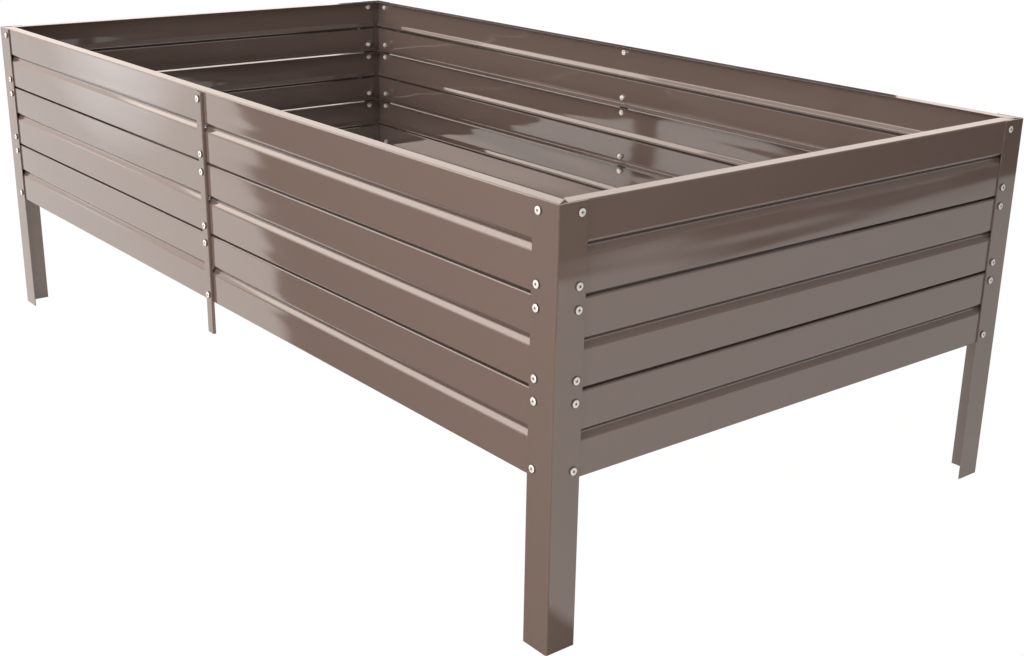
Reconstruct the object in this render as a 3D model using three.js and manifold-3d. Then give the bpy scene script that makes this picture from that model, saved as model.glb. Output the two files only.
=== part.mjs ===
// A raised garden bed of folded sheet steel: four angle legs, three tiers of
// grooved panels on each side, and a centre post on each long side, all bolted up.
// Millimetres, +Z up. The origin is on the ground under the middle of the bed.
// X runs along the long sides, Y along the short ends, and the front is at -Y.

import * as THREE from "three";
import { mergeVertices } from "three/addons/utils/BufferGeometryUtils.js";
import Module from "manifold-3d";

const wasm = await Module();
wasm.setup();

// ---- Driving dimensions, in millimetres and degrees ----

// The whole bed
const bedLength = 1800; // outside the legs, along X
const bedWidth = 940; // outside the legs, along Y
const groundClearance = 240; // from the ground up to the lowest panels
const tierCount = 3; // panels above one another on each side
const tierGap = 3; // daylight between one panel and the next
const coatGap = 0.3; // between two coated faces that bear on each other

// Panels: one folded sheet, a flat web with a groove pressed in along its middle
const panelHeight = 118;
const panelSheet = 1;
const panelFlange = 21; // reach of the folded edges, from the outside face inward
const panelBend = 2.5; // outside radius of those folds
const grooveMouth = 15;
const grooveFloor = 2;
const grooveDepth = 5.5;

// Legs: one folded sheet, an equal angle outside the panels
const legFlange = 47;
const legSheet = 2;
const legBend = 3;

// Centre posts: one folded sheet, a shallow channel outside the long sides
const postWidth = 20;
const postDepth = 5;
const postSheet = 1.5;
const postBend = 2;
const postBelowRim = 2;
const postBelowPanels = 55; // how far a post runs on below the lowest panel

// Corners, where the panels' folded edges are trimmed to pass each other
const trimAngle = 36; // slant of a long panel's folded edges at its ends
const cornerLap = 4; // how far an end panel's web runs past the tips of those edges
const cornerGap = 1.2; // room between those tips and an end panel's folded edges

// Fasteners: pan-head bolts with hexagon nuts inside
const boltDiameter = 6;
const holeClearance = 0.5; // all round the bolt
const boltEdge = 11.5; // from a leg flange's free edge to its bolts
const boltInset = 13.5; // from a panel's top and bottom to its bolts
const headDiameter = 11.5;
const headHeight = 2.6;
const headCrown = 8; // diameter of the head's flat crown
const headRim = 1; // height of the head's straight side
const nutAcrossFlats = 10;
const nutHeight = 5;
const threadBeyondNut = 2.5;

// Facets
const bendSteps = 3;
const holeSides = 8;
const headSides = 10;

// ---- Sizes that follow ----

const tierPitch = panelHeight + tierGap;
const rimHeight = groundClearance + tierCount * tierPitch - tierGap;
const faceInset = legSheet + coatGap; // from a leg's outside face to a panel's
const flangeReach = faceInset + panelFlange; // the same, to the folded edges' tips
const boltFromCorner = legFlange - boltEdge;
const boltRadius = boltDiameter / 2;
const holeRadius = boltRadius + holeClearance;

// Each panel's web stops this far short of the leg's outside corner.
const longPanelInset = legBend + coatGap;
const endPanelInset = flangeReach - cornerLap;

// A trim starts where the folded edge leaves its bend, and is this long at the tip.
const trimDepth = panelFlange - panelBend;
const longTrim = trimDepth * Math.tan(THREE.MathUtils.degToRad(trimAngle));
const longTipFromTrim = longPanelInset + longTrim - faceInset - panelBend;
const endTrim = ((cornerLap + cornerGap) * trimDepth) / longTipFromTrim;

// From the face a bolt's head bears on to its nut.
const legGrip = legSheet + panelSheet + 2 * coatGap;
const postGrip = postDepth + panelSheet + 2 * coatGap;
const postFace = faceInset - coatGap - postDepth; // from a leg's outside face

// ---- Finishes ----

const coat = { color: 0x84766b, roughness: 0.38, metalness: 0.25 };
const legCoat = { color: 0x7b6e64, roughness: 0.4, metalness: 0.25 };
const zinc = { color: 0xd2cfca, roughness: 0.3, metalness: 0.9 };

// ---- Solids ----

function solidOf(geometry) {
  geometry.deleteAttribute("normal");
  geometry.deleteAttribute("uv");
  const merged = mergeVertices(geometry, 1e-4);
  const vertProperties = merged.attributes.position.array;
  const triVerts = new Uint32Array(merged.index.array);
  return new wasm.Manifold(new wasm.Mesh({ numProp: 3, vertProperties, triVerts }));
}

function geometryOf(solid) {
  const mesh = solid.getMesh();
  const geometry = new THREE.BufferGeometry();
  geometry.setAttribute("position", new THREE.BufferAttribute(mesh.vertProperties, 3));
  geometry.setIndex(new THREE.BufferAttribute(mesh.triVerts, 1));
  const faceted = geometry.toNonIndexed();
  faceted.computeVertexNormals();
  return faceted;
}

function meshOf(name, solid, finish) {
  const mesh = new THREE.Mesh(geometryOf(solid), new THREE.MeshStandardMaterial(finish));
  mesh.name = name;
  return mesh;
}

// ---- Folded sheet ----

const point = (x, y) => new THREE.Vector2(x, y);

// The arc that rounds the corner between two straight runs of a sheet.
function bend(before, corner, after, radius) {
  const back = before.clone().sub(corner).normalize();
  const on = after.clone().sub(corner).normalize();
  const half = Math.acos(back.dot(on)) / 2;
  const centre = corner
    .clone()
    .add(back.clone().add(on).normalize().multiplyScalar(radius / Math.sin(half)));
  const from = corner.clone().addScaledVector(back, radius / Math.tan(half));
  const start = from.clone().sub(centre);
  const side = Math.sign(back.cross(on));
  const turn = side * (Math.PI - 2 * half);
  return Array.from({ length: bendSteps + 1 }, (_, i) =>
    start.clone().rotateAround(point(0, 0), (-turn * i) / bendSteps).add(centre),
  );
}

// The sheet's other face: each point moved by its thickness to the left of the way along.
function otherFace(path, thickness) {
  return path.map((here, i) => {
    const into = here.clone().sub(path[i - 1] ?? here);
    const out = (path[i + 1] ?? here).clone().sub(here);
    const a = (into.lengthSq() ? into : out).clone().normalize();
    const b = (out.lengthSq() ? out : into).clone().normalize();
    const middle = a.clone().add(b).normalize();
    const reach = thickness / middle.dot(a);
    return here.clone().add(point(-middle.y, middle.x).multiplyScalar(reach));
  });
}

function foldedSheet(path, thickness, length) {
  const outline = [...path, ...otherFace(path, thickness).reverse()];
  const shape = new THREE.Shape(outline);
  return new THREE.ExtrudeGeometry(shape, { depth: length, bevelEnabled: false });
}

// ---- Panels ----

// From the top edge's tip, out and down the web, to the bottom edge's tip:
// x is the way inward from the outside face, and y is the height.
function panelPath() {
  const topTip = point(panelFlange, panelHeight);
  const topCorner = point(0, panelHeight);
  const bottomCorner = point(0, 0);
  const bottomTip = point(panelFlange, 0);
  const middle = panelHeight / 2;
  return [
    topTip,
    ...bend(topTip, topCorner, bottomCorner, panelBend),
    point(0, middle + grooveMouth / 2),
    point(grooveDepth, middle + grooveFloor / 2),
    point(grooveDepth, middle - grooveFloor / 2),
    point(0, middle - grooveMouth / 2),
    ...bend(topCorner, bottomCorner, bottomTip, panelBend),
    bottomTip,
  ];
}

// A drill through a sheet whose face is at y = 0, at x along it and z up.
function drill(x, z) {
  const depth = 4 * (legSheet + panelSheet);
  const bit = new THREE.CylinderGeometry(holeRadius, holeRadius, depth, holeSides);
  return solidOf(bit.translate(x, 0, z));
}

// What a slanted trim takes off the folded edges at the end of a panel on +X or -X.
function trimWedge(end, trim, side) {
  const beyond = 2; // the wedge is this many times as deep as the edge it trims
  const wedge = new THREE.Shape([
    point(side * end, panelBend),
    point(side * (end + trimDepth), panelBend),
    point(side * (end + trimDepth), panelBend + beyond * trimDepth),
    point(side * (end - beyond * trim), panelBend + beyond * trimDepth),
  ]);
  const depth = 2 * panelHeight;
  const geometry = new THREE.ExtrudeGeometry(wedge, { depth, bevelEnabled: false });
  return solidOf(geometry.translate(0, 0, (panelHeight - depth) / 2));
}

// A panel lies along X, its outside face at y = 0 and its lower edge at z = 0.
function panelSolid(length, trim, boltPlaces) {
  const sheet = foldedSheet(panelPath(), panelSheet, length);
  sheet.translate(0, 0, -length / 2);
  const [x, y, z] = [[1, 0, 0], [0, 1, 0], [0, 0, 1]].map((v) => new THREE.Vector3(...v));
  sheet.applyMatrix4(new THREE.Matrix4().makeBasis(y, z, x));
  let solid = solidOf(sheet);
  for (const side of [-1, 1]) solid = solid.subtract(trimWedge(length / 2, trim, side));
  for (const along of boltPlaces)
    for (const height of [boltInset, panelHeight - boltInset])
      solid = solid.subtract(drill(along, height));
  return solid;
}

// ---- Fasteners ----

// A tightened bolt and its nut. The bolt points along +Y from the face at y = 0,
// and its head stands off that face by the gap given.
function fastenerSolid(grip, gap) {
  const tip = grip + nutHeight + threadBeyondNut;
  const profile = [
    point(0, -gap - headHeight),
    point(headCrown / 2, -gap - headHeight),
    point(headDiameter / 2, -gap - headRim),
    point(headDiameter / 2, -gap),
    point(boltRadius, -gap),
    point(boltRadius, tip),
    point(0, tip),
  ];
  const bolt = new THREE.LatheGeometry(profile, headSides);
  const nutRadius = nutAcrossFlats / Math.sqrt(3);
  const nut = new THREE.CylinderGeometry(nutRadius, nutRadius, nutHeight, 6);
  nut.translate(0, grip + nutHeight / 2, 0);
  return solidOf(bolt).add(solidOf(nut));
}

const looseFastener = fastenerSolid(legGrip, coatGap);
const legFastener = fastenerSolid(legGrip, 0);
const postFastener = fastenerSolid(postGrip, 0);

// ---- The places of the bolts ----

const tiers = Array.from({ length: tierCount }, (_, i) => i);
const panelBottom = (tier) => rimHeight - panelHeight - tier * tierPitch;

// Two bolts to a panel, from the rim down.
const boltHeights = tiers.flatMap((tier) => [
  panelBottom(tier) + panelHeight - boltInset,
  panelBottom(tier) + boltInset,
]);

// ---- Legs and posts ----

// A leg's outside corner is its origin; its flanges run along -X and +Y.
// Its lowest fastener on each flange is one piece with it.
function legSolid() {
  const path = [
    point(-legFlange, 0),
    ...bend(point(-legFlange, 0), point(0, 0), point(0, legFlange), legBend),
    point(0, legFlange),
  ];
  let solid = solidOf(foldedSheet(path, legSheet, rimHeight));
  const flanges = [
    { turn: 0, x: -boltFromCorner, y: 0 },
    { turn: 90, x: 0, y: boltFromCorner },
  ];
  for (const { turn, x, y } of flanges)
    boltHeights.forEach((height, row) => {
      const fixed = row === boltHeights.length - 1;
      const tool = (fixed ? legFastener : drill(0, 0)).rotate([0, 0, turn]);
      const placed = tool.translate([x, y, height]);
      solid = fixed ? solid.add(placed) : solid.subtract(placed);
    });
  return solid;
}

// A post's front face is at y = 0, and its fasteners are one piece with it.
function postSolid() {
  const corners = [
    point(-postWidth / 2, postDepth),
    point(-postWidth / 2, 0),
    point(postWidth / 2, 0),
    point(postWidth / 2, postDepth),
  ];
  const path = [
    corners[0],
    ...bend(corners[0], corners[1], corners[2], postBend),
    ...bend(corners[1], corners[2], corners[3], postBend),
    corners[3],
  ];
  const foot = groundClearance - postBelowPanels;
  const channel = foldedSheet(path, postSheet, rimHeight - postBelowRim - foot);
  let solid = solidOf(channel.translate(0, 0, foot));
  for (const height of boltHeights)
    solid = solid.add(postFastener.translate([0, 0, height]));
  return solid;
}

// ---- The four sides ----

// Each side is built as the front is, facing -Y, and turned to its place.
const sides = [
  { name: "front", turn: 0, length: bedLength, away: bedWidth / 2, long: true },
  { name: "right_end", turn: 90, length: bedWidth, away: bedLength / 2, long: false },
  { name: "back", turn: 180, length: bedLength, away: bedWidth / 2, long: true },
  { name: "left_end", turn: 270, length: bedWidth, away: bedLength / 2, long: false },
];

function sidePanels(side) {
  const legBolts = [-1, 1].map((end) => end * (side.length / 2 - boltFromCorner));
  const boltPlaces = side.long ? [legBolts[0], 0, legBolts[1]] : legBolts;
  const inset = side.long ? longPanelInset : endPanelInset;
  const trim = side.long ? longTrim : endTrim;
  const solid = panelSolid(side.length - 2 * inset, trim, boltPlaces);
  return tiers.map((tier) => {
    const panel = meshOf(`${side.name}_panel_${tier + 1}`, solid, coat);
    panel.position.set(0, faceInset - side.away, panelBottom(tier));
    return panel;
  });
}

// A side's bolts but the lowest, named by the column they are in, seen from outside.
function sideBolts(side) {
  const columns = [{ name: "left", end: -1 }, { name: "right", end: 1 }];
  return columns.flatMap((column) =>
    boltHeights.slice(0, -1).map((height, row) => {
      const name = `${side.name}_bolt_${column.name}_${row + 1}`;
      const bolt = meshOf(name, looseFastener, zinc);
      const along = column.end * (side.length / 2 - boltFromCorner);
      bolt.position.set(along, -side.away, height);
      return bolt;
    }),
  );
}

function sideGroup(side) {
  const group = new THREE.Group();
  group.rotation.z = THREE.MathUtils.degToRad(side.turn);
  group.add(...sidePanels(side), ...sideBolts(side));
  if (side.long) {
    const post = meshOf(`${side.name}_centre_post`, postSolid(), legCoat);
    post.position.set(0, postFace - side.away, 0);
    group.add(post);
  }
  return group;
}

// ---- The four legs ----

const corners = [
  { name: "leg_front_right", turn: 0, x: 1, y: -1 },
  { name: "leg_back_right", turn: 90, x: 1, y: 1 },
  { name: "leg_back_left", turn: 180, x: -1, y: 1 },
  { name: "leg_front_left", turn: 270, x: -1, y: -1 },
];

function legs() {
  const solid = legSolid();
  return corners.map((corner) => {
    const leg = meshOf(corner.name, solid, legCoat);
    leg.position.set((corner.x * bedLength) / 2, (corner.y * bedWidth) / 2, 0);
    leg.rotation.z = THREE.MathUtils.degToRad(corner.turn);
    return leg;
  });
}

// ---- The bed ----

const bed = new THREE.Group();
bed.add(...sides.map(sideGroup), ...legs());

export default bed;
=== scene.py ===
# %% [markdown]
# # A raised garden bed in folded steel
#
# The bed is a box of grooved sheet-steel panels on four tall angle legs. Nothing in it
# is solid: every piece but the bolts and nuts is one flat sheet, cut and folded.
# So each piece here starts as a flat surface, gets its folds the way the press makes
# them, and only then becomes a sheet with a thickness.
#
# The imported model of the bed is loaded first. It fixes where each piece goes.

import math

import bmesh
import bpy
from mathutils import Matrix, Vector


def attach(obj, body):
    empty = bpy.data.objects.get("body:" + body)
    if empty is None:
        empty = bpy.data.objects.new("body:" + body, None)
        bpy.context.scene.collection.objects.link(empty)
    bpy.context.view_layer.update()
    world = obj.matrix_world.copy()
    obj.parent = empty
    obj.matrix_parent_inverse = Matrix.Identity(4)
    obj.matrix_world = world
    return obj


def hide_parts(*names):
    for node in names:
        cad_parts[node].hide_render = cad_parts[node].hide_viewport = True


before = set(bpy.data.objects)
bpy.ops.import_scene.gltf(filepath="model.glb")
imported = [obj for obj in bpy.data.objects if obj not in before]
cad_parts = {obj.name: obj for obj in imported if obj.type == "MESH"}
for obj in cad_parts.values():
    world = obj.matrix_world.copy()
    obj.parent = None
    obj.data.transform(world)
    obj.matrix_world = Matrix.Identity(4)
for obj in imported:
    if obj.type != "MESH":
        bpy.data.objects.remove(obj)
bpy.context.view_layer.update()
print("packed nodes:", len(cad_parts))

# %% [markdown]
# ## The bed's sizes
#
# All sizes are in metres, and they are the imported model's own. The origin is on the
# ground under the middle of the bed. X runs along the long sides, and the front is -Y.

# %% Sizes of the bed
LENGTH, WIDTH = 1.800, 0.940  # outside the legs
CLEARANCE = 0.240  # from the ground to the lowest panels
TIERS, TIER_GAP = 3, 0.003
PANEL_HEIGHT, PANEL_SHEET = 0.118, 0.001
PANEL_FLANGE, PANEL_BEND = 0.021, 0.0025
GROOVE_MOUTH, GROOVE_FLOOR, GROOVE_DEPTH = 0.015, 0.002, 0.0055
LEG_FLANGE, LEG_SHEET, LEG_BEND = 0.047, 0.002, 0.003
COAT_GAP = 0.0003  # between two coated faces that bear on each other

RIM = CLEARANCE + TIERS * (PANEL_HEIGHT + TIER_GAP) - TIER_GAP
FACE_INSET = LEG_SHEET + COAT_GAP  # from a leg's outside face to a panel's

# %% Sizes of the posts, the corners and the bolts
POST_WIDTH, POST_DEPTH, POST_SHEET, POST_BEND = 0.020, 0.005, 0.0015, 0.002
POST_BELOW_RIM, POST_BELOW_PANELS = 0.002, 0.055
POST_TOP, POST_FOOT = RIM - POST_BELOW_RIM, CLEARANCE - POST_BELOW_PANELS
BOLT_INSET = 0.0135  # from a panel's top and bottom edges
BOLT_FROM_FLANGE_EDGE = 0.0115
BOLT_FROM_CORNER = LEG_FLANGE - BOLT_FROM_FLANGE_EDGE
SHANK, HOLE = 0.003, 0.0035  # radii
HEAD, HEAD_HEIGHT = 0.00575, 0.0026  # a head's radius, and its height
NUT_FLATS, NUT_HEIGHT = 0.010, 0.005

CORNER_LAP, CORNER_GAP = 0.004, 0.0012
LONG_INSET = LEG_BEND + COAT_GAP  # where a long panel's web stops
END_INSET = FACE_INSET + PANEL_FLANGE - CORNER_LAP  # where an end panel's web stops
TRIM_ANGLE, TRIM_DEPTH = math.radians(36), PANEL_FLANGE - PANEL_BEND
LONG_TRIM = TRIM_DEPTH * math.tan(TRIM_ANGLE)
LONG_TIP_FROM_TRIM = LONG_INSET + LONG_TRIM - FACE_INSET - PANEL_BEND
END_TRIM = (CORNER_LAP + CORNER_GAP) * TRIM_DEPTH / LONG_TIP_FROM_TRIM

panel_bottoms = [RIM - PANEL_HEIGHT - i * (PANEL_HEIGHT + TIER_GAP) for i in range(TIERS)]
bolt_heights = [z + step for z in panel_bottoms for step in (PANEL_HEIGHT - BOLT_INSET, BOLT_INSET)]
print("bolt heights:", [round(z, 4) for z in bolt_heights])

# %% [markdown]
# ## Helpers for working by hand in code
#
# An operator acts on whatever is selected, so each step first says what that is.
# `only` makes one object the selected and active one. `choose` works in edit mode: it
# selects the vertices, edges or faces whose corners all pass a test of their place.
# `near` is for such tests: it says whether two numbers are within 0.01 mm.


# %% Choosing an object, and parts of its mesh
def only(piece):
    bpy.ops.object.select_all(action="DESELECT")
    piece.select_set(True)
    bpy.context.view_layer.objects.active = piece


def choose(piece, kind, test):
    bpy.ops.mesh.select_mode(type=kind)
    bpy.ops.mesh.select_all(action="DESELECT")
    mesh = bmesh.from_edit_mesh(piece.data)
    parts = {"VERT": mesh.verts, "EDGE": mesh.edges, "FACE": mesh.faces}[kind]
    for part in parts:
        corners = [part] if kind == "VERT" else part.verts
        if all(test(v.co) for v in corners):
            part.select_set(True)
    mesh.select_flush_mode()
    bmesh.update_edit_mesh(piece.data)


def near(a, b):
    return abs(a - b) < 1e-5


print("helpers ready")

# %% [markdown]
# ## Panels
#
# A panel is one strip of thin sheet. Its middle has a groove pressed in, which stiffens
# it, and both long edges are folded inward. The long sides and the short ends have the
# same section, so both lengths go through the same steps together. A box with loops cut
# into it could make the section too, but a folded surface keeps the sheet's thickness
# even everywhere, as a press does.


# %% The flat web of a panel
def upright_strip(name, low_x, high_x, low_z, high_z):
    """A flat upright rectangle at y = 0 that faces -Y, out of the bed."""
    bpy.ops.object.select_all(action="DESELECT")
    middle = ((low_x + high_x) / 2, 0, (low_z + high_z) / 2)
    bpy.ops.mesh.primitive_plane_add(size=1, location=middle, rotation=(math.pi / 2, 0, 0))
    strip = bpy.context.object
    strip.name = name
    bpy.ops.transform.resize(value=(high_x - low_x, 1, high_z - low_z))
    bpy.ops.object.transform_apply(location=True, rotation=True, scale=True)
    return strip


long_half = LENGTH / 2 - LONG_INSET
end_half = WIDTH / 2 - END_INSET
long_panel = upright_strip("long_panel", -long_half, long_half, 0, PANEL_HEIGHT)
end_panel = upright_strip("end_panel", -end_half, end_half, 0, PANEL_HEIGHT)
panel_models = (long_panel, end_panel)
for panel in panel_models:
    print(panel.name, "web:", [round(x, 4) for x in panel.dimensions])


# %% Fold both long edges inward
def fold_edge(piece, test, way):
    """Extrudes the edges that pass the test, as a fold of the sheet."""
    choose(piece, "EDGE", test)
    bpy.ops.mesh.extrude_region_move(TRANSFORM_OT_translate={"value": way})


for panel in panel_models:
    only(panel)
    bpy.ops.object.mode_set(mode="EDIT")
    for z in (0, PANEL_HEIGHT):
        fold_edge(panel, lambda co: near(co.z, z) and near(co.y, 0), (0, PANEL_FLANGE, 0))
    bpy.ops.object.mode_set(mode="OBJECT")
    print(panel.name, "folded:", [round(x, 4) for x in panel.dimensions])

# %% [markdown]
# The groove is pressed in along four lines. The web is cut along them, and the two
# inner lines are pushed in. A press tool has rounded edges, so every fold is then
# rounded: widely at the folded edges, and a little at the groove.

# %% Press the groove and round the folds
MOUTH_ROUND, FLOOR_ROUND = 0.0018, 0.0008
middle = PANEL_HEIGHT / 2
mouth = [middle - GROOVE_MOUTH / 2, middle + GROOVE_MOUTH / 2]
floor_lines = [middle - GROOVE_FLOOR / 2, middle + GROOVE_FLOOR / 2]
for panel in panel_models:
    only(panel)
    bpy.ops.object.mode_set(mode="EDIT")
    for z in mouth + floor_lines:
        bpy.ops.mesh.select_all(action="SELECT")
        bpy.ops.mesh.bisect(plane_co=(0, 0, z), plane_no=(0, 0, 1))
    choose(panel, "VERT", lambda co: any(near(co.z, z) for z in floor_lines))
    bpy.ops.transform.translate(value=(0, GROOVE_DEPTH, 0))
    choose(panel, "EDGE", lambda co: near(co.y, 0) and (near(co.z, 0) or near(co.z, PANEL_HEIGHT)))
    bpy.ops.mesh.bevel(offset=PANEL_BEND, segments=6)
    for lines, round_off in ((mouth, MOUTH_ROUND), (floor_lines, FLOOR_ROUND)):
        for line in lines:
            choose(panel, "EDGE", lambda co: near(co.z, line))
            bpy.ops.mesh.bevel(offset=round_off, segments=4)
    bpy.ops.object.mode_set(mode="OBJECT")
    print(panel.name, "faces after the groove:", len(panel.data.polygons))

# %% [markdown]
# At a corner of the bed two panels meet, and their folded edges would run into each
# other. Each edge is trimmed on a slant, so they pass with a little room.

# %% Trim the folded edges on a slant
for panel, half, trim in ((long_panel, long_half, LONG_TRIM), (end_panel, end_half, END_TRIM)):
    only(panel)
    bpy.ops.object.mode_set(mode="EDIT")
    for side in (-1, 1):
        choose(panel, "VERT", lambda co: near(co.x, side * half) and near(co.y, PANEL_FLANGE))
        bpy.ops.transform.translate(value=(-side * trim, 0, 0))
    bpy.ops.object.mode_set(mode="OBJECT")
    print(panel.name, "trimmed by", round(trim * 1000, 1), "mm")

# %% [markdown]
# Now the surface becomes a sheet. Solidify grows it inward, away from its normals. The
# bolt holes are cut by one cutter that holds all of a panel's drills. Last, the cut
# edges are broken, and Weighted Normal keeps the flat web shading flat next to its
# rounded folds, which matters on a glossy finish.


# %% Apply a modifier, and make drills
DRILL_SIDES, DRILL_LENGTH = 24, 0.03


def apply_modifier(piece, kind, **settings):
    only(piece)
    modifier = piece.modifiers.new(kind.title(), kind)
    for key, value in settings.items():
        setattr(modifier, key, value)
    bpy.ops.object.modifier_apply(modifier=modifier.name)


def drills(places):
    """One object of short cylinders along Y at (x, z) places, joined."""
    bpy.ops.object.select_all(action="DESELECT")
    made = []
    for x, z in places:
        bpy.ops.mesh.primitive_cylinder_add(
            vertices=DRILL_SIDES,
            radius=HOLE,
            depth=DRILL_LENGTH,
            location=(x, 0, z),
            rotation=(math.pi / 2, 0, 0),
        )
        made.append(bpy.context.object)
    for drill in made:
        drill.select_set(True)
    bpy.ops.object.join()
    bpy.ops.object.transform_apply(location=True, rotation=True, scale=True)
    return bpy.context.object


print("a drill is", DRILL_LENGTH, "m long, with", DRILL_SIDES, "sides")

# %% Sheet thickness and edges
THIN_EDGE, THICK_EDGE = 0.00018, 0.0003  # how far the cut edges are broken


def make_sheet(piece, thickness, cutters, edge=THIN_EDGE):
    """Thickens a folded surface, cuts its holes and breaks its edges."""
    apply_modifier(piece, "SOLIDIFY", thickness=thickness, offset=-1, use_even_offset=True)
    for cutter in cutters:
        apply_modifier(piece, "BOOLEAN", operation="DIFFERENCE", object=cutter, solver="EXACT")
        bpy.data.objects.remove(cutter)
    sharp = math.radians(50)
    apply_modifier(piece, "BEVEL", width=edge, segments=2, limit_method="ANGLE", angle_limit=sharp)
    bpy.ops.object.shade_smooth_by_angle(angle=math.radians(40))
    apply_modifier(piece, "WEIGHTED_NORMAL", mode="FACE_AREA", weight=90, keep_sharp=True)


panel_rows = (BOLT_INSET, PANEL_HEIGHT - BOLT_INSET)
leg_columns = {"long_panel": LENGTH / 2 - BOLT_FROM_CORNER, "end_panel": WIDTH / 2 - BOLT_FROM_CORNER}
for panel in panel_models:
    reach = leg_columns[panel.name]
    columns = (-reach, 0, reach) if panel is long_panel else (-reach, reach)
    make_sheet(panel, PANEL_SHEET, [drills([(x, z) for x in columns for z in panel_rows])])
    print(panel.name, "finished:", len(panel.data.polygons), "faces")

# %% [markdown]
# ## Legs
#
# A leg is a strip of thicker sheet folded once, lengthwise, into an equal angle. Its
# outside corner is at the origin here. The holes on its second flange are drilled by a
# cutter that is turned a quarter.

# %% Fold a leg
leg_model = upright_strip("leg_model", -LEG_FLANGE, 0, 0, RIM)
only(leg_model)
bpy.ops.object.mode_set(mode="EDIT")
fold_edge(leg_model, lambda co: near(co.x, 0), (0, LEG_FLANGE, 0))
choose(leg_model, "EDGE", lambda co: near(co.x, 0) and near(co.y, 0))
bpy.ops.mesh.bevel(offset=LEG_BEND, segments=8)
bpy.ops.object.mode_set(mode="OBJECT")

front_drills = drills([(-BOLT_FROM_CORNER, z) for z in bolt_heights])
side_drills = drills([(BOLT_FROM_CORNER, z) for z in bolt_heights])
side_drills.rotation_euler.z = math.pi / 2
only(side_drills)
bpy.ops.object.transform_apply(location=True, rotation=True, scale=True)
make_sheet(leg_model, LEG_SHEET, [front_drills, side_drills], edge=THICK_EDGE)
print("leg:", [round(x, 4) for x in leg_model.dimensions], len(leg_model.data.polygons), "faces")

# %% [markdown]
# ## Centre posts
#
# A post keeps the long panels in line at their middle. It is a narrow channel, open
# towards the panels, so it is a strip with both edges folded back.

# %% Fold a centre post
post_model = upright_strip("post_model", -POST_WIDTH / 2, POST_WIDTH / 2, POST_FOOT, POST_TOP)
only(post_model)
bpy.ops.object.mode_set(mode="EDIT")
for side in (-1, 1):
    edge_x = side * POST_WIDTH / 2
    fold_edge(post_model, lambda co: near(co.x, edge_x) and near(co.y, 0), (0, POST_DEPTH, 0))
    choose(post_model, "EDGE", lambda co: near(co.x, edge_x) and near(co.y, 0))
    bpy.ops.mesh.bevel(offset=POST_BEND, segments=6)
bpy.ops.object.mode_set(mode="OBJECT")
make_sheet(post_model, POST_SHEET, [drills([(0, z) for z in bolt_heights])])
print("post:", [round(x, 4) for x in post_model.dimensions], len(post_model.data.polygons), "faces")

# %% [markdown]
# ## Bolts and nuts
#
# The bolts have low round heads with a cross recess. A head is a short disc that is
# drawn out, ring by ring, to a rounded edge and a flat crown. It lies below the origin,
# and the shank grows up from its underside, with a few ridges where the thread shows
# past the nut. The recess is cut by two tapered blades, as the punch that makes it has.

# %% Shape a bolt
HEAD_RIM = 0.0010  # the upright part of a head's side
HEAD_RINGS = (  # the place and radius of each ring, out to the crown
    (-0.0016, 0.0056),
    (-0.0021, 0.0053),
    (-0.0024, 0.0049),
    (-HEAD_HEIGHT, 0.0042),
)
bpy.ops.object.select_all(action="DESELECT")
bpy.ops.mesh.primitive_cylinder_add(
    vertices=32, radius=HEAD, depth=HEAD_RIM, location=(0, 0, -HEAD_RIM / 2), end_fill_type="NGON"
)
bolt_model = bpy.context.object
bolt_model.name = "bolt_model"
bpy.ops.object.transform_apply(location=True, rotation=True, scale=True)
bpy.ops.object.mode_set(mode="EDIT")
depth, radius = -HEAD_RIM, HEAD
choose(bolt_model, "FACE", lambda co: near(co.z, -HEAD_RIM))
for next_depth, next_radius in HEAD_RINGS:
    bpy.ops.mesh.extrude_region_move(TRANSFORM_OT_translate={"value": (0, 0, next_depth - depth)})
    share = next_radius / radius
    bpy.ops.transform.resize(value=(share, share, 1))
    depth, radius = next_depth, next_radius
bpy.ops.object.mode_set(mode="OBJECT")
print("head:", [round(x, 4) for x in bolt_model.dimensions])


# %% The shank and its thread
THREAD_WAIST, THREAD_STEP, TIP_TAPER = 0.86, 0.0005, 0.80


def grow_shank(piece, grip):
    """Draws the shank out of the head's underside, through the grip and the nut."""
    only(piece)
    bpy.ops.object.mode_set(mode="EDIT")
    choose(piece, "FACE", lambda co: near(co.z, 0))
    bpy.ops.mesh.inset(thickness=HEAD - SHANK)
    bpy.ops.mesh.extrude_region_move(TRANSFORM_OT_translate={"value": (0, 0, grip + NUT_HEIGHT)})
    for share in (THREAD_WAIST, 1 / THREAD_WAIST, THREAD_WAIST, 1 / THREAD_WAIST, TIP_TAPER):
        bpy.ops.mesh.extrude_region_move(TRANSFORM_OT_translate={"value": (0, 0, THREAD_STEP)})
        bpy.ops.transform.resize(value=(share, share, 1))
    bpy.ops.object.mode_set(mode="OBJECT")


leg_grip = LEG_SHEET + COAT_GAP + PANEL_SHEET
post_grip = POST_DEPTH + COAT_GAP + PANEL_SHEET
post_bolt_model = bolt_model.copy()
post_bolt_model.data = bolt_model.data.copy()
post_bolt_model.name = "post_bolt_model"
bpy.context.scene.collection.objects.link(post_bolt_model)
grow_shank(bolt_model, leg_grip)
grow_shank(post_bolt_model, post_grip)
print("bolt lengths:", round(bolt_model.dimensions.z, 4), round(post_bolt_model.dimensions.z, 4))


# %% Cut the cross recess
BLADE_SPAN, BLADE_WIDTH, BLADE_HEIGHT = 0.0054, 0.0015, 0.0034
BLADE_MIDDLE = -0.0026
BLADE_TAPER = (0.45, 0.7, 1)  # of its deep end


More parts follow.
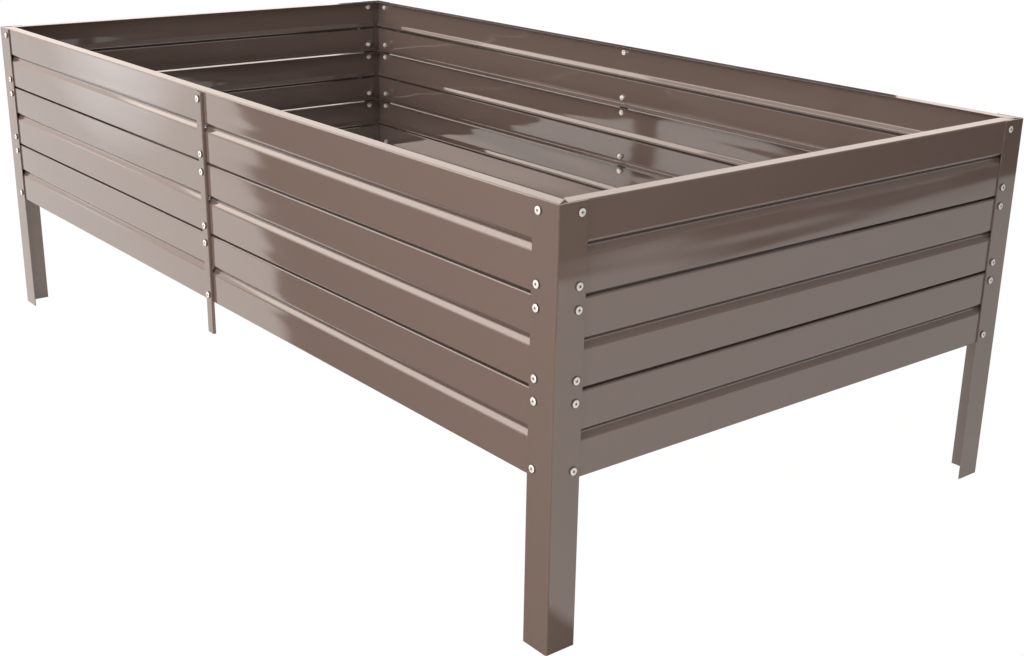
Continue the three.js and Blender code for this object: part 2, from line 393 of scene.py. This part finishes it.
def recess_blade(turn):
    """A flat blade that narrows towards its deep end."""
    bpy.ops.object.select_all(action="DESELECT")
    bpy.ops.mesh.primitive_cube_add(size=1, location=(0, 0, BLADE_MIDDLE), rotation=(0, 0, turn))
    blade = bpy.context.object
    bpy.ops.transform.resize(value=(1, 1, BLADE_HEIGHT))
    bpy.ops.object.transform_apply(location=False, rotation=False, scale=True)
    bpy.ops.object.mode_set(mode="EDIT")
    bpy.ops.mesh.select_all(action="SELECT")
    bpy.ops.transform.resize(value=(BLADE_SPAN, BLADE_WIDTH, 1), orient_type="LOCAL")
    choose(blade, "FACE", lambda co: co.z > 0)
    bpy.ops.transform.resize(value=BLADE_TAPER, orient_type="LOCAL")
    bpy.ops.object.mode_set(mode="OBJECT")
    bpy.ops.object.transform_apply(location=True, rotation=True, scale=True)
    return blade


for bolt in (bolt_model, post_bolt_model):
    for turn in (0, math.pi / 2):
        blade = recess_blade(turn)
        apply_modifier(bolt, "BOOLEAN", operation="DIFFERENCE", object=blade, solver="EXACT")
        bpy.data.objects.remove(blade)
    only(bolt)
    bpy.ops.object.shade_smooth_by_angle(angle=math.radians(14))
    print(bolt.name, "with its recess:", len(bolt.data.polygons), "faces")

# %% [markdown]
# A nut is a hexagon bar cut off and turned in a lathe, which takes its sharp corners
# off in curves. So a six-sided prism is crossed with a turned disc that has bevelled
# rims, and the hole is cut through.

# %% Shape a nut
NUT_CORNER = NUT_FLATS / math.sqrt(3)
DISC_WIDER, DISC_TALLER = 1.01, 1.002  # than the prism, so that their faces don't coincide
NUT_CHAMFER = 0.0011
NUT_BORE = SHANK * 0.97
bpy.ops.object.select_all(action="DESELECT")
bpy.ops.mesh.primitive_cylinder_add(
    vertices=6, radius=NUT_CORNER, depth=NUT_HEIGHT, location=(0, 0, NUT_HEIGHT / 2)
)
nut_model = bpy.context.object
nut_model.name = "nut_model"
bpy.ops.mesh.primitive_cylinder_add(
    vertices=48,
    radius=NUT_CORNER * DISC_WIDER,
    depth=NUT_HEIGHT * DISC_TALLER,
    location=(0, 0, NUT_HEIGHT / 2),
)
turned_disc = bpy.context.object
apply_modifier(turned_disc, "BEVEL", width=NUT_CHAMFER, segments=3, limit_method="ANGLE")
bpy.ops.mesh.primitive_cylinder_add(vertices=24, radius=NUT_BORE, depth=0.02)
nut_drill = bpy.context.object
apply_modifier(nut_model, "BOOLEAN", operation="INTERSECT", object=turned_disc, solver="EXACT")
apply_modifier(nut_model, "BOOLEAN", operation="DIFFERENCE", object=nut_drill, solver="EXACT")
for tool in (turned_disc, nut_drill):
    bpy.data.objects.remove(tool)
only(nut_model)
bpy.ops.object.transform_apply(location=True, rotation=True, scale=True)
bpy.ops.object.shade_smooth_by_angle(angle=math.radians(30))
print("nut:", [round(x, 4) for x in nut_model.dimensions], len(nut_model.data.polygons), "faces")

# %% [markdown]
# ## Finishes
#
# The sheet has a taupe powder coat. Powder flows out into a fine orange peel, and on thin
# sheet the reflections also waver slowly, because the sheet is never quite flat. So the
# coat has a fine speckle in its colour, a slow change in its gloss, a fine bump, and two
# broad ones that run along the sheet.
#
# The photograph has a dark line under the lip of each groove, where plain light on an even
# coat came out too pale. So each face carries a mark of how far it looks down, and the coat
# colour is darkened by that mark: painted shade on the faces that look down. This is only a
# way to match the photograph, and is not the real coat's colour.


# %% A small kit for node materials
def new_material(name):
    material = bpy.data.materials.new(name)
    material.use_nodes = True
    nodes = material.node_tree.nodes
    nodes.clear()
    output = nodes.new("ShaderNodeOutputMaterial")
    shader = nodes.new("ShaderNodeBsdfPrincipled")
    material.node_tree.links.new(shader.outputs["BSDF"], output.inputs["Surface"])
    return material, nodes, material.node_tree.links, shader


def noise(nodes, links, place, scale, detail=2.0):
    texture = nodes.new("ShaderNodeTexNoise")
    texture.inputs["Scale"].default_value = scale
    texture.inputs["Detail"].default_value = detail
    links.new(place, texture.inputs["Vector"])
    return texture.outputs["Fac"]


def spread(nodes, links, value, low, high, from_low=0.3, from_high=0.7):
    """Goes from low to high as the value goes from from_low to from_high, and no further."""
    ranged = nodes.new("ShaderNodeMapRange")
    ranged.inputs["From Min"].default_value = from_low
    ranged.inputs["From Max"].default_value = from_high
    ranged.inputs["To Min"].default_value = low
    ranged.inputs["To Max"].default_value = high
    links.new(value, ranged.inputs["Value"])
    return ranged.outputs["Result"]


def ramp(nodes, links, value, stops):
    colours = nodes.new("ShaderNodeValToRGB")
    colours.color_ramp.elements[0].position = stops[0][0]
    colours.color_ramp.elements[1].position = stops[-1][0]
    for position, colour in stops[1:-1]:
        colours.color_ramp.elements.new(position)
    for element, (position, colour) in zip(colours.color_ramp.elements, stops):
        element.color = (*colour, 1)
    links.new(value, colours.inputs["Fac"])
    return colours.outputs["Color"]


print("material kit ready")


# %% The powder coat
# Painted shade: a face that looks down gets a darker coat colour.
PAINTED_UNDERSIDE_SHADE = 0.36  # the share of its colour that a face keeps where it looks down
LOOKS_LEVEL, LOOKS_DOWN = 0.1, 0.65  # the marks from which, and past which, it darkens
WAVERS = ((0.35, 8, 0.0020), (0.06, 26, 0.0009))  # stretch, scale and height


def powder_coat(name, dark, mid, light, roughness):
    material, nodes, links, shader = new_material(name)
    place = nodes.new("ShaderNodeTexCoord").outputs["Object"]
    speckle = noise(nodes, links, place, scale=900, detail=3)
    colour = ramp(nodes, links, speckle, [(0.30, dark), (0.5, mid), (0.72, light)])
    turned_down = nodes.new("ShaderNodeAttribute")
    turned_down.attribute_name = "turned_down"
    painted_shade = spread(
        nodes, links, turned_down.outputs["Fac"], 1.0, PAINTED_UNDERSIDE_SHADE, LOOKS_LEVEL, LOOKS_DOWN
    )
    shaded_colour = nodes.new("ShaderNodeVectorMath")
    shaded_colour.operation = "SCALE"
    links.new(colour, shaded_colour.inputs[0])
    links.new(painted_shade, shaded_colour.inputs["Scale"])
    links.new(shaded_colour.outputs["Vector"], shader.inputs["Base Color"])
    smudge = noise(nodes, links, place, scale=9, detail=4)
    smudged = spread(nodes, links, smudge, roughness - 0.015, roughness + 0.025)
    links.new(smudged, shader.inputs["Roughness"])
    peel = nodes.new("ShaderNodeBump")
    peel.inputs["Strength"].default_value = 0.12
    peel.inputs["Distance"].default_value = 0.00005
    links.new(noise(nodes, links, place, scale=380, detail=2), peel.inputs["Height"])
    normal = peel.outputs["Normal"]
    for stretch, scale, height in WAVERS:
        lengthwise = nodes.new("ShaderNodeMapping")
        lengthwise.inputs["Scale"].default_value = (stretch, stretch, 1)
        links.new(place, lengthwise.inputs["Vector"])
        waver = nodes.new("ShaderNodeBump")
        waver.inputs["Strength"].default_value = 1.0
        waver.inputs["Distance"].default_value = height
        ripple = noise(nodes, links, lengthwise.outputs["Vector"], scale, detail=1)
        links.new(ripple, waver.inputs["Height"])
        links.new(normal, waver.inputs["Normal"])
        normal = waver.outputs["Normal"]
    links.new(normal, shader.inputs["Normal"])
    shader.inputs["Metallic"].default_value = 0.0
    shader.inputs["IOR"].default_value = 1.75
    return material


panel_coat = powder_coat(
    "panel_coat", (0.129, 0.090, 0.075), (0.150, 0.107, 0.090), (0.174, 0.127, 0.109), roughness=0.055
)
frame_coat = powder_coat(
    "frame_coat", (0.125, 0.088, 0.072), (0.146, 0.105, 0.087), (0.170, 0.125, 0.106), roughness=0.065
)
print("coats:", panel_coat.name, frame_coat.name)


# %% Mark how far each face looks down, for the painted shade, and coat the sheets
def mark_turned_down(piece):
    """Writes on each face how far it looks down, for the coat's painted shade to read."""
    marks = piece.data.attributes.new("turned_down", "FLOAT", "FACE")
    for face, mark in zip(piece.data.polygons, marks.data):
        mark.value = max(0.0, -face.normal.z)


for coat, models in ((panel_coat, panel_models), (frame_coat, (leg_model, post_model))):
    for model in models:
        mark_turned_down(model)
        model.data.materials.append(coat)
    print(coat.name, "on", [model.name for model in models])


# %% [markdown]
# The bolts and nuts are zinc plated: a bright metal with a faint patchy haze. The recess of
# a head is painted dull and dark, as painted shade. In the photograph a head is a bright disc
# with a thin dark edge. So the side of a head is painted dull and dark too, as painted shade,
# which is again only a way to match it.


# %% The zinc plate and the two dull dark finishes of painted shade
def plated(name, colour, haze, low, high, metal):
    material, nodes, links, shader = new_material(name)
    place = nodes.new("ShaderNodeTexCoord").outputs["Object"]
    patches = noise(nodes, links, place, scale=260, detail=3)
    links.new(ramp(nodes, links, patches, [(0.35, haze), (0.65, colour)]), shader.inputs["Base Color"])
    grain = noise(nodes, links, place, scale=1500, detail=2)
    links.new(spread(nodes, links, grain, low, high), shader.inputs["Roughness"])
    bump = nodes.new("ShaderNodeBump")
    bump.inputs["Strength"].default_value = 0.2
    bump.inputs["Distance"].default_value = 0.00004
    links.new(grain, bump.inputs["Height"])
    links.new(bump.outputs["Normal"], shader.inputs["Normal"])
    shader.inputs["Metallic"].default_value = metal
    return material


zinc = plated("zinc_plate", (0.90, 0.86, 0.80), (0.80, 0.76, 0.70), low=0.42, high=0.55, metal=0.45)
# Painted shade: the recess and the side of a head are coloured dull and dark.
recess = plated("recess_painted_shade", (0.20, 0.18, 0.16), (0.13, 0.12, 0.11), low=0.5, high=0.7, metal=0.6)
head_side_shade = plated(
    "head_side_painted_shade", (0.15, 0.125, 0.11), (0.09, 0.076, 0.068), low=0.5, high=0.7, metal=0.6
)
print("plated finishes:", zinc.name, recess.name, head_side_shade.name)

# %% Which finish each face of a bolt gets
BRIGHT, IN_RECESS, ON_SIDE = 0, 1, 2  # the order of a bolt's materials
RECESS_RADIUS, RECESS_FLOOR = 0.0036, -0.0018
UNDERSIDE, FACES_OUT = -0.0002, -0.3  # a place in Z, and the Z of a normal
SIDE_RADIUS, SIDE_PLACES = 0.0053, (-0.0020, -0.0001)


def finish_of(face):
    """The recess's walls and floor get a dull dark painted shade, and so does the head's side."""
    place = face.center
    out = math.hypot(place.x, place.y)
    if out > SIDE_RADIUS and SIDE_PLACES[0] < place.z < SIDE_PLACES[1]:
        return ON_SIDE
    on_crown = near(place.z, -HEAD_HEIGHT) or face.normal.z < FACES_OUT
    if out < RECESS_RADIUS and place.z < UNDERSIDE and (not on_crown or place.z > RECESS_FLOOR):
        return IN_RECESS
    return BRIGHT


for bolt in (bolt_model, post_bolt_model):
    for finish in (zinc, recess, head_side_shade):
        bolt.data.materials.append(finish)
    for face in bolt.data.polygons:
        face.material_index = finish_of(face)
nut_model.data.materials.append(zinc)
print("recess faces:", sum(f.material_index == IN_RECESS for f in bolt_model.data.polygons))

# %% [markdown]
# ## Putting the bed together
#
# Each side is laid out as the front is, facing -Y, and turned to its place. A copy has
# its own mesh, and its place is applied to that mesh, so that its object stays at the
# origin and its finish doesn't slide.

# %% Copy a model to its place
SIDES = {
    "front": {"turn": 0, "length": LENGTH, "away": WIDTH / 2, "panel": long_panel},
    "right_end": {"turn": 90, "length": WIDTH, "away": LENGTH / 2, "panel": end_panel},
    "back": {"turn": 180, "length": LENGTH, "away": WIDTH / 2, "panel": long_panel},
    "left_end": {"turn": 270, "length": WIDTH, "away": LENGTH / 2, "panel": end_panel},
}


def quarter_turn(degrees):
    """An exact turn about Z by a number of right angles."""
    c, s = {0: (1, 0), 90: (0, 1), 180: (-1, 0), 270: (0, -1)}[degrees]
    return Matrix(((c, -s, 0, 0), (s, c, 0, 0), (0, 0, 1, 0), (0, 0, 0, 1)))


def put(model, name, placing, node=None):
    piece = bpy.data.objects.new(name, model.data.copy())
    bpy.context.scene.collection.objects.link(piece)
    piece.matrix_world = placing
    only(piece)
    bpy.ops.object.transform_apply(location=True, rotation=True, scale=True)
    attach(piece, "root")
    if node:
        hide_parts(node)


for side, at in SIDES.items():
    for tier, bottom in enumerate(panel_bottoms, start=1):
        placing = quarter_turn(at["turn"]) @ Matrix.Translation((0, FACE_INSET - at["away"], bottom))
        put(at["panel"], f"panel_{side}_{tier}", placing, f"{side}_panel_{tier}")
    print(side, "has", TIERS, "panels")

# %% Legs and posts
CORNERS = {  # the leg's turn, and the sides of X and Y that it stands on
    "front_right": (0, 1, -1),
    "back_right": (90, 1, 1),
    "back_left": (180, -1, 1),
    "front_left": (270, -1, -1),
}
for corner, (turn, x, y) in CORNERS.items():
    placing = Matrix.Translation((x * LENGTH / 2, y * WIDTH / 2, 0)) @ quarter_turn(turn)
    put(leg_model, f"angle_leg_{corner}", placing, f"leg_{corner}")

post_face = FACE_INSET - COAT_GAP - POST_DEPTH
for side in ("front", "back"):
    placing = quarter_turn(SIDES[side]["turn"]) @ Matrix.Translation((0, post_face - WIDTH / 2, 0))
    put(post_model, f"post_{side}", placing, f"{side}_centre_post")
print("legs and posts placed")

# %% [markdown]
# A hand tightens each bolt to a different angle, so each is turned by its own amount.
# The amounts come from the bolt's number, and are the same on every run.

# %% Bolts and nuts
BOLT_TURN, NUT_TURN = 137.5, 83.1  # degrees, from each one to the next
lay_down = Matrix.Rotation(-math.pi / 2, 4, "X")  # the bolt's Z becomes the side's +Y
count = 0
for side, at in SIDES.items():
    columns = [("left", -1, bolt_model, leg_grip), ("right", 1, bolt_model, leg_grip)]
    if side in ("front", "back"):
        columns.append(("middle", 0, post_bolt_model, post_grip))
    for column, end, model, grip in columns:
        x = end * (at["length"] / 2 - BOLT_FROM_CORNER)
        y = -at["away"] + (post_face if end == 0 else 0)
        for row, z in enumerate(bolt_heights, start=1):
            count += 1
            spin = Matrix.Rotation(math.radians(count * BOLT_TURN % 360), 4, "Z")
            nut_spin = Matrix.Rotation(math.radians(count * NUT_TURN % 360), 4, "Z")
            place = quarter_turn(at["turn"]) @ Matrix.Translation((x, y, z)) @ lay_down
            own = f"{side}_bolt_{column}_{row}" if end and row < len(bolt_heights) else None
            put(model, f"bolt_{side}_{column}_{row}", place @ spin, own)
            nut_place = place @ Matrix.Translation((0, 0, grip)) @ nut_spin
            put(nut_model, f"nut_{side}_{column}_{row}", nut_place, own)
print("bolts:", count)

for model in (long_panel, end_panel, leg_model, post_model, bolt_model, post_bolt_model, nut_model):
    bpy.data.objects.remove(model)

# %% [markdown]
# ## The stage
#
# The bed stands on white paper. The camera sees white everywhere, with the bed's shadow,
# and all but the gloss sees the paper go on without end. The glossy coat mirrors the
# studio, though, and the studio isn't in the photograph. So what only the gloss sees is
# made up here to suit its reflections: the paper ends in front of the bed, along a line
# that slants, and to its right, and past those edges the floor is dark.


# %% Helpers for the stage
def arithmetic(nodes, links, operation, first, second):
    node = nodes.new("ShaderNodeMath")
    node.operation = operation
    for socket, value in zip(node.inputs, (first, second)):
        if isinstance(value, (int, float)):
            socket.default_value = value
        else:
            links.new(value, socket)
    return node.outputs[0]


def rays(nodes, links):
    """Two values: 1 for rays that see the stage directly, and 1 for those off a gloss."""
    path = nodes.new("ShaderNodeLightPath").outputs
    direct = arithmetic(nodes, links, "MAXIMUM", path["Is Camera Ray"], path["Is Transmission Ray"])
    return direct, path["Is Glossy Ray"]


def show_to_gloss_only(piece):
    for ray in ("camera", "diffuse", "transmission", "shadow", "volume_scatter"):
        setattr(piece, f"visible_{ray}", False)


def end_with(nodes, links, fac, first, second):
    """Mixes two shaders into a material's output."""
    mix = nodes.new("ShaderNodeMixShader")
    links.new(fac, mix.inputs["Fac"])
    links.new(first, mix.inputs[1])
    links.new(second, mix.inputs[2])
    output = next(n for n in nodes if n.type == "OUTPUT_MATERIAL")
    links.new(mix.outputs["Shader"], output.inputs["Surface"])


print("stage helpers ready")

# %% The floor, and where its paper ends
FLOOR_SIZE = 60
EDGE_SLANT, SLANT_STOPS = 0.488, 0.5  # how far Y goes per X, and the X past which it stays
FRONT_EDGE, RIGHT_EDGE = (-0.645, -0.620), (2.08, 2.24)  # from no paper to paper, and back
PAPER, BARE_FLOOR = (0.86, 0.82, 0.79), (0.06, 0.055, 0.05)

bpy.ops.object.select_all(action="DESELECT")
bpy.ops.mesh.primitive_plane_add(size=FLOOR_SIZE)
floor = bpy.context.object
floor.name = "floor"
floor_paint, nodes, links, shader = new_material("floor_paint")
shader.inputs["Roughness"].default_value = 0.9
shader.inputs["Specular IOR Level"].default_value = 0.0
direct, off_gloss = rays(nodes, links)
at = nodes.new("ShaderNodeSeparateXYZ")
links.new(nodes.new("ShaderNodeTexCoord").outputs["Object"], at.inputs["Vector"])
at_x, at_y = at.outputs["X"], at.outputs["Y"]

slanting_x = arithmetic(nodes, links, "MINIMUM", at_x, SLANT_STOPS)
edge_y = arithmetic(nodes, links, "MULTIPLY", slanting_x, EDGE_SLANT)
past_edge = arithmetic(nodes, links, "SUBTRACT", at_y, edge_y)
behind = spread(nodes, links, past_edge, 0, 1, *FRONT_EDGE)
left_of_edge = spread(nodes, links, at_x, 1, 0, *RIGHT_EDGE)
paper = arithmetic(nodes, links, "MULTIPLY", behind, left_of_edge)
not_glossy = arithmetic(nodes, links, "SUBTRACT", 1, off_gloss)
pale = arithmetic(nodes, links, "MAXIMUM", not_glossy, paper)
links.new(ramp(nodes, links, pale, [(0, BARE_FLOOR), (1, PAPER)]), shader.inputs["Base Color"])
print("floor:", FLOOR_SIZE, "m wide")

# %% [markdown]
# These three lamps can't light the paper as the photograph's studio did, so it also
# glows. The camera meets an almost even white. The gloss meets a glow that fades from
# left to right, that is stronger past the bed's left end, and that is warmer behind the
# front of the bed's left half.

# %% The paper's glow
CAMERA_GLOW, GLOSS_GLOW = 1.03, 1.07  # the second is added to the first
CAMERA_SHARE = 0.955  # of the glow in what the camera sees; the rest shows the shadow
FADING = (0.572, 0.25, -0.6, 1.2)  # from one share to another, between two places in X
LEFT_END = (0.42, 0.04, -1.15, -0.90)
LEFT_HALF, BEHIND_FRONT = (1, 0, -0.6, 0.4), (0, 1, -0.50, -0.35)
EVEN_WARMTH = 0.4
WARMTH_TINTS = [(0, (1, 1, 1)), (EVEN_WARMTH, (1, 0.97, 0.935)), (1, (1, 0.84, 0.76))]

glow = nodes.new("ShaderNodeEmission")
in_left_half = spread(nodes, links, at_x, *LEFT_HALF)
behind_front = spread(nodes, links, at_y, *BEHIND_FRONT)
under_bed = arithmetic(nodes, links, "MULTIPLY", in_left_half, behind_front)
warmer = spread(nodes, links, under_bed, EVEN_WARMTH, 1, 0, 1)
warmth = arithmetic(nodes, links, "MULTIPLY", off_gloss, warmer)
links.new(ramp(nodes, links, warmth, WARMTH_TINTS), glow.inputs["Color"])
boost = arithmetic(nodes, links, "MULTIPLY", off_gloss, GLOSS_GLOW)
links.new(arithmetic(nodes, links, "ADD", boost, CAMERA_GLOW), glow.inputs["Strength"])

fading = spread(nodes, links, at_x, *FADING)
past_left_end = spread(nodes, links, at_x, *LEFT_END)
past_left_end = arithmetic(nodes, links, "MULTIPLY", past_left_end, under_bed)
fading = arithmetic(nodes, links, "ADD", fading, past_left_end)
mirrored = arithmetic(nodes, links, "MULTIPLY", off_gloss, paper)
mirrored = arithmetic(nodes, links, "MULTIPLY", mirrored, fading)
white = arithmetic(nodes, links, "MULTIPLY", direct, CAMERA_SHARE)
white = arithmetic(nodes, links, "MAXIMUM", white, mirrored)
end_with(nodes, links, white, shader.outputs["BSDF"], glow.outputs["Emission"])
floor.data.materials.append(floor_paint)
print("floor ready")

# %% [markdown]
# Round the bed there is only the world's light. The camera sees it white. It lights the
# bed weakly, from all round, which softens the shadows. The gloss sees it warm, and much
# brighter on the left, as if a lit wall stood there.

# %% The surround
SURROUND_LIGHT = 0.30
GLOSS_LEFT = 1.75  # its strength on the left, to the gloss
LEFT_TO_RIGHT = (-0.40, 0.15)  # where it falls to the plain light, in X of the direction
GLOSS_TINT = (1, 0.87, 0.79)

world = bpy.data.worlds.new("surround")
bpy.context.scene.world = world
world.use_nodes = True
nodes, links = world.node_tree.nodes, world.node_tree.links
direct, off_gloss = rays(nodes, links)
whitening = arithmetic(nodes, links, "MULTIPLY", direct, 1 - SURROUND_LIGHT)
strength = arithmetic(nodes, links, "ADD", whitening, SURROUND_LIGHT)
toward = nodes.new("ShaderNodeSeparateXYZ")
links.new(nodes.new("ShaderNodeTexCoord").outputs["Generated"], toward.inputs["Vector"])
bright_left = spread(nodes, links, toward.outputs["X"], GLOSS_LEFT, SURROUND_LIGHT, *LEFT_TO_RIGHT)
added = arithmetic(nodes, links, "SUBTRACT", bright_left, SURROUND_LIGHT)
added = arithmetic(nodes, links, "MULTIPLY", off_gloss, added)
strength = arithmetic(nodes, links, "ADD", strength, added)
links.new(strength, nodes["Background"].inputs["Strength"])
tint = ramp(nodes, links, off_gloss, [(0, (1, 1, 1)), (1, GLOSS_TINT)])
links.new(tint, nodes["Background"].inputs["Color"])
print("surround ready")


# %% [markdown]
# Three soft lamps light the bed. The key lamp hangs high to the front left and
# shines down on the rims. The front lamp stands far off in front of the long side. The
# right end faces away from the key lamp, so a small fill lamp stands low before it. The
# gloss doesn't see the fill lamp: near and low as it is, it would show in the front as a
# white patch.


# %% Lamps
def soft_lamp(name, place, target, width, height, power, colour=(1, 1, 1)):
    lamp = bpy.data.lights.new(name, "AREA")
    lamp.shape = "RECTANGLE"
    lamp.size, lamp.size_y = width, height
    lamp.energy, lamp.color = power, colour
    holder = bpy.data.objects.new(name, lamp)
    bpy.context.scene.collection.objects.link(holder)
    holder.location = place
    holder.rotation_euler = (Vector(target) - Vector(place)).to_track_quat("-Z", "Y").to_euler()
    return holder


soft_lamp(
    "key_lamp",
    place=(-4.2, -3.45, 3.95),
    target=(-0.1, -0.1, 0.4),
    width=5.4,
    height=2.65,
    power=106,
    colour=(1, 0.90, 0.81),
)
soft_lamp(
    "front_lamp", place=(1.0, -7.2, 2.8), target=(0, 0, 0.35), width=5.0, height=3.2, power=440
)
fill = soft_lamp(
    "fill_lamp", place=(3.3, -2.3, 0.5), target=(0.9, -0.2, 0.4), width=1.4, height=0.9, power=44
)
fill.visible_glossy = False


# %% [markdown]
# A narrow white card stands upright at the front left. Only the gloss shows it, as the
# soft light patch left of the front post. It is bright in its middle and fades to nothing
# at its edges, so that the patch has no outline.

# %% The white card
CARD_WIDTH, CARD_HEIGHT, CARD_TURN = 0.44, 0.9, math.radians(-67)
CARD_PLACE, CARD_GLOW = (-2.12, -1.25, 0.42), 3.6
CARD_SHARE = (0.50, 0, 0.35, 1.0)  # of the glow, from the card's middle out to its edges
bpy.ops.object.select_all(action="DESELECT")
bpy.ops.mesh.primitive_plane_add(size=1, rotation=(math.pi / 2, 0, CARD_TURN))
card = bpy.context.object
card.name = "white_card"
bpy.ops.transform.resize(value=(CARD_WIDTH, CARD_HEIGHT, 1), orient_type="LOCAL")
card.location = CARD_PLACE
bpy.ops.object.transform_apply(location=False, rotation=False, scale=True)
card_glow, nodes, links, shader = new_material("card_glow")
away = nodes.new("ShaderNodeVectorMath")
away.operation = "MULTIPLY"
away.inputs[1].default_value = (2 / CARD_WIDTH, 2 / CARD_HEIGHT, 0)
links.new(nodes.new("ShaderNodeTexCoord").outputs["Object"], away.inputs[0])
from_middle = nodes.new("ShaderNodeVectorMath")
from_middle.operation = "LENGTH"
links.new(away.outputs["Vector"], from_middle.inputs[0])
shine = spread(nodes, links, from_middle.outputs["Value"], *CARD_SHARE)
nothing = nodes.new("ShaderNodeBsdfTransparent")
nodes.remove(shader)
glow = nodes.new("ShaderNodeEmission")
glow.inputs["Strength"].default_value = CARD_GLOW
end_with(nodes, links, shine, nothing.outputs["BSDF"], glow.outputs["Emission"])
card.data.materials.append(card_glow)
show_to_gloss_only(card)
print("card at", [round(x, 2) for x in card.location])

# %% [markdown]
# Behind the bed a low dark screen stands where the far rim shows it. Without it the far
# rim would shine white and be lost against the white background.

# %% The dark screen
SCREEN_WIDTH, SCREEN_HEIGHT, SCREEN_PLACE = 3.45, 0.96, (-2.48, 2.4, 0.6)
SCREEN_DARK, SCREEN_LIGHT = (0.03, 0.027, 0.025), (0.05, 0.045, 0.04)
bpy.ops.object.select_all(action="DESELECT")
bpy.ops.mesh.primitive_plane_add(size=1, location=SCREEN_PLACE, rotation=(math.pi / 2, 0, 0))
screen = bpy.context.object
screen.name = "dark_screen"
bpy.ops.transform.resize(value=(SCREEN_WIDTH, 1, SCREEN_HEIGHT))
bpy.ops.object.transform_apply(location=False, rotation=False, scale=True)
screen_cloth, nodes, links, shader = new_material("screen_cloth")
weave = noise(nodes, links, nodes.new("ShaderNodeTexCoord").outputs["Object"], scale=40)
links.new(ramp(nodes, links, weave, [(0, SCREEN_DARK), (1, SCREEN_LIGHT)]), shader.inputs["Base Color"])
shader.inputs["Roughness"].default_value = 0.9
screen.data.materials.append(screen_cloth)
show_to_gloss_only(screen)
print("screen at", [round(x, 2) for x in screen.location])

# %% [markdown]
# ## The camera
#
# The photograph was taken from beyond the front right leg and higher than the rim,
# looking across the bed to its far left corner. The camera's place, turn and lens were
# found by matching points of the bed with the photograph.

# %% Camera
IMAGE_WIDTH, FOCAL_PIXELS = 1024, 1425.753
CAMERA_PLACE = (2.112139, -1.509980, 1.010547)
yaw, pitch, roll = math.radians(51.207), math.radians(19.379), math.radians(1.020)
camera_data = bpy.data.cameras.new("camera")
camera_data.sensor_width = 36
camera_data.lens = FOCAL_PIXELS * camera_data.sensor_width / IMAGE_WIDTH
camera = bpy.data.objects.new("camera", camera_data)
bpy.context.scene.collection.objects.link(camera)
camera.matrix_world = (
    Matrix.Translation(CAMERA_PLACE)
    @ Matrix.Rotation(yaw, 4, "Z")
    @ Matrix.Rotation(math.pi / 2 - pitch, 4, "X")
    @ Matrix.Rotation(roll, 4, "Z")
)
bpy.context.scene.camera = camera
bpy.context.scene.view_settings.view_transform = "Standard"
print("camera at", [round(x, 3) for x in camera.location], "lens", round(camera_data.lens, 2))
